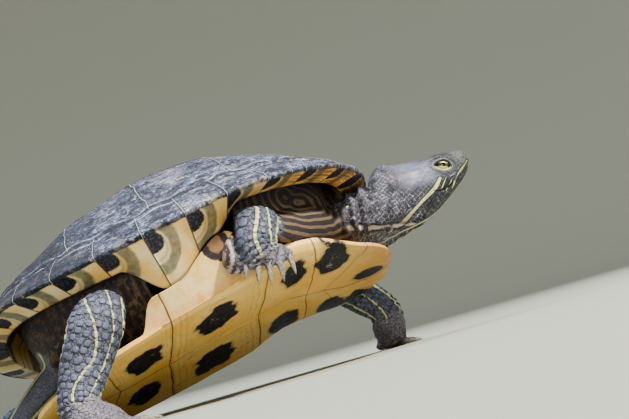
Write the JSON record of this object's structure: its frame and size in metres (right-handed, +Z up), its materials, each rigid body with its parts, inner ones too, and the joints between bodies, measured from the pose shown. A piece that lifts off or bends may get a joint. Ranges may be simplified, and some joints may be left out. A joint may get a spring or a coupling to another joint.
{
  "type": "red-eared slider turtle figure",
  "caption": "Life-size still model of a red-eared slider turtle, leaning on the left side of its shell with its front raised and its head stretched forward.",
  "frame": {"origin": "middle of the turtle's footprint, on the floor it rests on", "axes": "+X towards the turtle's head, +Y towards its left, +Z up"},
  "size_m": [0.3452, 0.2618, 0.139],
  "materials": {
    "carapace_horn": "dry weathered horn plates, slate grey",
    "plastron_horn": "satin yellow horn plates with dark blotches",
    "skin": "dry scaly skin, dark slate with pale and yellow stripes",
    "eye": "wet gloss",
    "claw_horn": "satin horn"
  },
  "bodies": {
    "root": {"carapace": "carapace_horn", "plastron": "plastron_horn", "trunk": "skin", "neck": "skin", "head": "skin", "jaw": "skin", "eye_left": "eye", "eye_right": "eye", "tail": "skin", "upper_arm_right": "skin", "forearm_right": "skin", "forefoot_right": "skin", "claw_fore_right_1": "claw_horn", "claw_fore_right_2": "claw_horn", "claw_fore_right_3": "claw_horn", "claw_fore_right_4": "claw_horn", "claw_fore_right_5": "claw_horn", "upper_arm_left": "skin", "forearm_left": "skin", "forefoot_left": "skin", "claw_fore_left_1": "claw_horn", "claw_fore_left_2": "claw_horn", "claw_fore_left_3": "claw_horn", "claw_fore_left_4": "claw_horn", "claw_fore_left_5": "claw_horn", "thigh_right": "skin", "shank_right": "skin", "hindfoot_right": "skin", "claw_hind_right_1": "claw_horn", "claw_hind_right_2": "claw_horn", "claw_hind_right_3": "claw_horn", "claw_hind_right_4": "claw_horn", "thigh_left": "skin", "shank_left": "skin", "hindfoot_left": "skin", "claw_hind_left_1": "claw_horn", "claw_hind_left_2": "claw_horn", "claw_hind_left_3": "claw_horn", "claw_hind_left_4": "claw_horn"}
  },
  "joints": []
}
